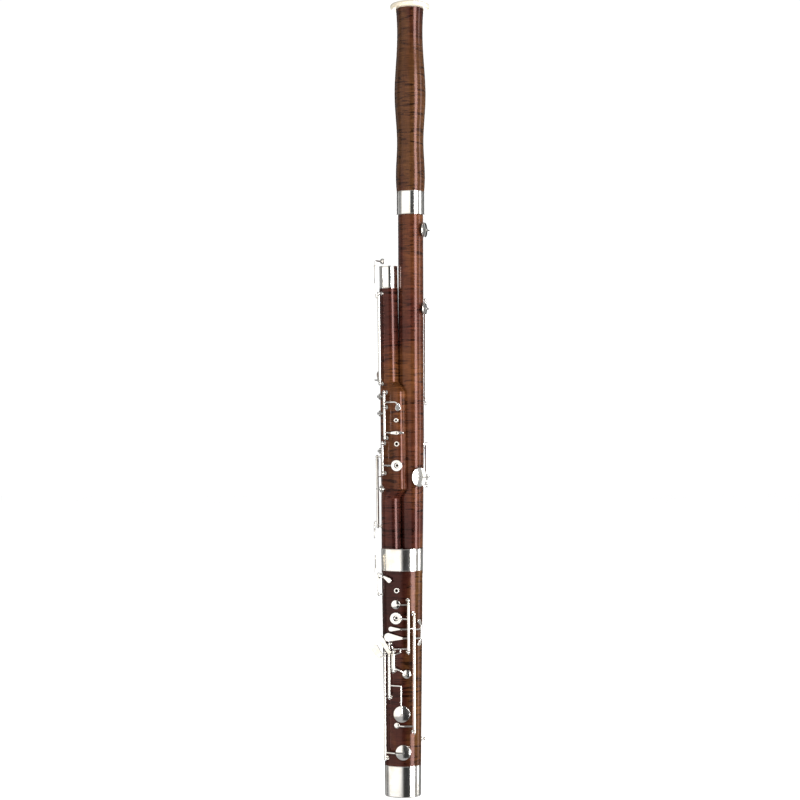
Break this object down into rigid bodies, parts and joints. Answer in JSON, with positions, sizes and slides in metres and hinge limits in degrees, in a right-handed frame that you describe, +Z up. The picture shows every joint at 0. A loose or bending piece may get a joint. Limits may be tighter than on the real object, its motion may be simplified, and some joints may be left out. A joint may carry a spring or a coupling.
{
  "type": "bassoon",
  "caption": "Wooden bassoon with plated keywork: boot, wing joint, bass joint and bell that pull apart, and sprung keys on hinge rods.",
  "frame": {"origin": "centre of the boot cap's flat bottom face", "axes": "+Z up along the bores, -Y the finger-hole side, +X the bass joint's side"},
  "size_m": [0.1025, 0.0775, 1.34],
  "materials": {
    "stained_maple": "red-brown stain under gloss lacquer",
    "silver_plate": "polished silver plate over nickel silver",
    "ivory_ring": "polished",
    "pad_leather": "matt",
    "tenon_thread": "waxed thread",
    "gasket_cork": "matt",
    "steel": "turned",
    "brass_tube": "drawn tube"
  },
  "bodies": {
    "boot": {"boot_body": "stained_maple", "boot_ferrule": "silver_plate", "boot_hole_liners": "silver_plate", "boot_posts": "silver_plate", "boot_pivot_rods": "steel", "u_tube": "brass_tube", "u_tube_gasket": "gasket_cork", "u_tube_screws": "steel", "strap_eye": "silver_plate"},
    "boot_cap": {"boot_cap": "silver_plate"},
    "wing": {"wing_body": "stained_maple", "wing_ferrule": "silver_plate", "bocal_socket": "silver_plate", "wing_tenon_wrap": "tenon_thread", "wing_hole_liners": "silver_plate", "wing_posts": "silver_plate", "wing_pivot_rods": "steel"},
    "bass": {"bass_body": "stained_maple", "bass_tenon_wraps": "tenon_thread", "bass_posts": "silver_plate", "bass_pivot_rods": "steel"},
    "bell": {"bell_body": "stained_maple", "bell_ferrule": "silver_plate", "bell_ring": "ivory_ring"},
    "boot_ring_key": {"boot_ring_key": "silver_plate", "boot_ring_key_pad": "pad_leather"},
    "trill_touch": {"trill_touch": "silver_plate"},
    "ring_finger_touch": {"ring_finger_touch": "silver_plate"},
    "ring_finger_lever": {"ring_finger_lever": "silver_plate", "ring_finger_lever_pad": "pad_leather"},
    "inner_little_finger_key": {"inner_little_finger_key": "silver_plate", "inner_little_finger_key_pad": "pad_leather"},
    "outer_little_finger_key": {"outer_little_finger_key": "silver_plate", "outer_little_finger_key_pad": "pad_leather"},
    "side_trill_key": {"side_trill_key": "silver_plate", "side_trill_key_pad": "pad_leather"},
    "bridge_key": {"bridge_key": "silver_plate"},
    "thumb_pancake_key": {"thumb_pancake_key": "silver_plate", "thumb_pancake_key_pad": "pad_leather"},
    "thumb_b_flat_key": {"thumb_b_flat_key": "silver_plate", "thumb_b_flat_key_pad": "pad_leather"},
    "upper_wing_trill_key": {"upper_wing_trill_key": "silver_plate", "upper_wing_trill_key_pad": "pad_leather"},
    "lower_wing_trill_key": {"lower_wing_trill_key": "silver_plate", "lower_wing_trill_key_pad": "pad_leather"},
    "wing_ring_key": {"wing_ring_key": "silver_plate", "wing_ring_key_pad": "pad_leather"},
    "wing_thumb_key": {"wing_thumb_key": "silver_plate", "wing_thumb_key_pad": "pad_leather"},
    "whisper_key": {"whisper_key": "silver_plate", "whisper_key_pad": "pad_leather"},
    "low_b_flat_key": {"low_b_flat_key": "silver_plate", "low_b_flat_key_pad": "pad_leather"},
    "low_c_key": {"low_c_key": "silver_plate", "low_c_key_pad": "pad_leather"},
    "low_d_key": {"low_d_key": "silver_plate", "low_d_key_pad": "pad_leather"}
  },
  "joints": [
    {"name": "boot_cap_pull", "type": "slide", "parent": "boot", "child": "boot_cap", "axis": [0, 0, -1], "range_m": [0, 0.06]},
    {"name": "wing_pull", "type": "slide", "parent": "boot", "child": "wing", "axis": [-0.0101, 0, 0.9999], "range_m": [0, 0.04]},
    {"name": "bass_pull", "type": "slide", "parent": "boot", "child": "bass", "axis": [0, 0, 1], "range_m": [0, 0.042]},
    {"name": "bell_pull", "type": "slide", "parent": "bass", "child": "bell", "axis": [0, 0, 1], "range_m": [0, 0.04]},
    {"name": "boot_ring_key_hinge", "type": "hinge", "parent": "boot", "child": "boot_ring_key", "pos_m": [0.01, -0.02809, 0.31028], "axis": [0, 0, 1], "range_deg": [-8.07, 0], "stiffness_Nm_per_rad": 0.05, "springref_deg": 20.05},
    {"name": "trill_touch_hinge", "type": "hinge", "parent": "boot", "child": "trill_touch", "pos_m": [0.01, -0.02809, 0.28442], "axis": [0, 0, 1], "range_deg": [-8, 0], "stiffness_Nm_per_rad": 0.05, "springref_deg": 20.05},
    {"name": "ring_finger_touch_hinge", "type": "hinge", "parent": "boot", "child": "ring_finger_touch", "pos_m": [0.01, -0.02809, 0.2641], "axis": [0, 0, 1], "range_deg": [-6.4, 0], "stiffness_Nm_per_rad": 0.05, "springref_deg": 20.05},
    {"name": "ring_finger_lever_hinge", "type": "hinge", "parent": "boot", "child": "ring_finger_lever", "pos_m": [-0.01599, -0.02684, 0.23145], "axis": [0, 0, 1], "range_deg": [0, 7.48], "stiffness_Nm_per_rad": 0.05, "springref_deg": -20.05},
    {"name": "inner_little_finger_key_hinge", "type": "hinge", "parent": "boot", "child": "inner_little_finger_key", "pos_m": [-0.02278, -0.02333, 0.2151], "axis": [0, 0, 1], "range_deg": [-8.03, 0], "stiffness_Nm_per_rad": 0.05, "springref_deg": 20.05},
    {"name": "outer_little_finger_key_hinge", "type": "hinge", "parent": "boot", "child": "outer_little_finger_key", "pos_m": [-0.02977, -0.01873, 0.156], "axis": [0, 0, 1], "range_deg": [-5.68, 0], "stiffness_Nm_per_rad": 0.05, "springref_deg": 20.05},
    {"name": "side_trill_key_hinge", "type": "hinge", "parent": "boot", "child": "side_trill_key", "pos_m": [0.0197, -0.02519, 0.2117], "axis": [0, 0, 1], "range_deg": [0, 5.75], "stiffness_Nm_per_rad": 0.05, "springref_deg": -20.05},
    {"name": "bridge_key_hinge", "type": "hinge", "parent": "boot", "child": "bridge_key", "pos_m": [-0.03995, -0.006, 0.3585], "axis": [0, 0, 1], "range_deg": [0, 6], "stiffness_Nm_per_rad": 0.05, "springref_deg": -20.05},
    {"name": "thumb_pancake_key_hinge", "type": "hinge", "parent": "boot", "child": "thumb_pancake_key", "pos_m": [0.01586, 0.0258, 0.191], "axis": [0, 0, 1], "range_deg": [0, 8.85], "stiffness_Nm_per_rad": 0.05, "springref_deg": -20.05},
    {"name": "thumb_b_flat_key_hinge", "type": "hinge", "parent": "boot", "child": "thumb_b_flat_key", "pos_m": [-0.01692, 0.02637, 0.297], "axis": [0, 0, 1], "range_deg": [-10.27, 0], "stiffness_Nm_per_rad": 0.05, "springref_deg": 20.05},
    {"name": "upper_wing_trill_key_hinge", "type": "hinge", "parent": "wing", "child": "upper_wing_trill_key", "pos_m": [-0.02935, -0.02351, 0.6704], "axis": [-0.0101, 0, 0.9999], "range_deg": [0, 6.69], "stiffness_Nm_per_rad": 0.05, "springref_deg": -20.05},
    {"name": "lower_wing_trill_key_hinge", "type": "hinge", "parent": "wing", "child": "lower_wing_trill_key", "pos_m": [-0.02896, -0.02351, 0.63215], "axis": [-0.0101, 0, 0.9999], "range_deg": [0, 6.68], "stiffness_Nm_per_rad": 0.05, "springref_deg": -20.05},
    {"name": "wing_ring_key_hinge", "type": "hinge", "parent": "wing", "child": "wing_ring_key", "pos_m": [-0.03235, -0.01922, 0.57225], "axis": [-0.0101, 0, 0.9999], "range_deg": [0, 2.96], "stiffness_Nm_per_rad": 0.05, "springref_deg": -20.05},
    {"name": "wing_thumb_key_hinge", "type": "hinge", "parent": "wing", "child": "wing_thumb_key", "pos_m": [-0.04133, 0.00507, 0.515], "axis": [-0.0101, 0, 0.9999], "range_deg": [-10.98, 0], "stiffness_Nm_per_rad": 0.05, "springref_deg": 20.05},
    {"name": "whisper_key_hinge", "type": "hinge", "parent": "wing", "child": "whisper_key", "pos_m": [-0.0372, -0.01541, 0.774], "axis": [-0.0101, 0, 0.9999], "range_deg": [-10.66, 0], "stiffness_Nm_per_rad": 0.05, "springref_deg": 20.05},
    {"name": "low_b_flat_key_hinge", "type": "hinge", "parent": "bass", "child": "low_b_flat_key", "pos_m": [0.03424, 0.02114, 0.8045], "axis": [0, 0, 1], "range_deg": [-5.69, 0], "stiffness_Nm_per_rad": 0.05, "springref_deg": 20.05},
    {"name": "low_c_key_hinge", "type": "hinge", "parent": "bass", "child": "low_c_key", "pos_m": [0.04087, 0.01296, 0.752], "axis": [0, 0, 1], "range_deg": [-7.56, 0], "stiffness_Nm_per_rad": 0.05, "springref_deg": 20.05},
    {"name": "low_d_key_hinge", "type": "hinge", "parent": "bass", "child": "low_d_key", "pos_m": [0.04191, 0.01027, 0.5595], "axis": [0, 0, 1], "range_deg": [-5.46, 0], "stiffness_Nm_per_rad": 0.05, "springref_deg": 20.05}
  ],
  "couplings": [
    {"joint": "ring_finger_lever_hinge", "follows": "ring_finger_touch_hinge", "ratio": -1.1628},
    {"joint": "trill_touch_hinge", "follows": "side_trill_key_hinge", "ratio": -1.3849}
  ]
}
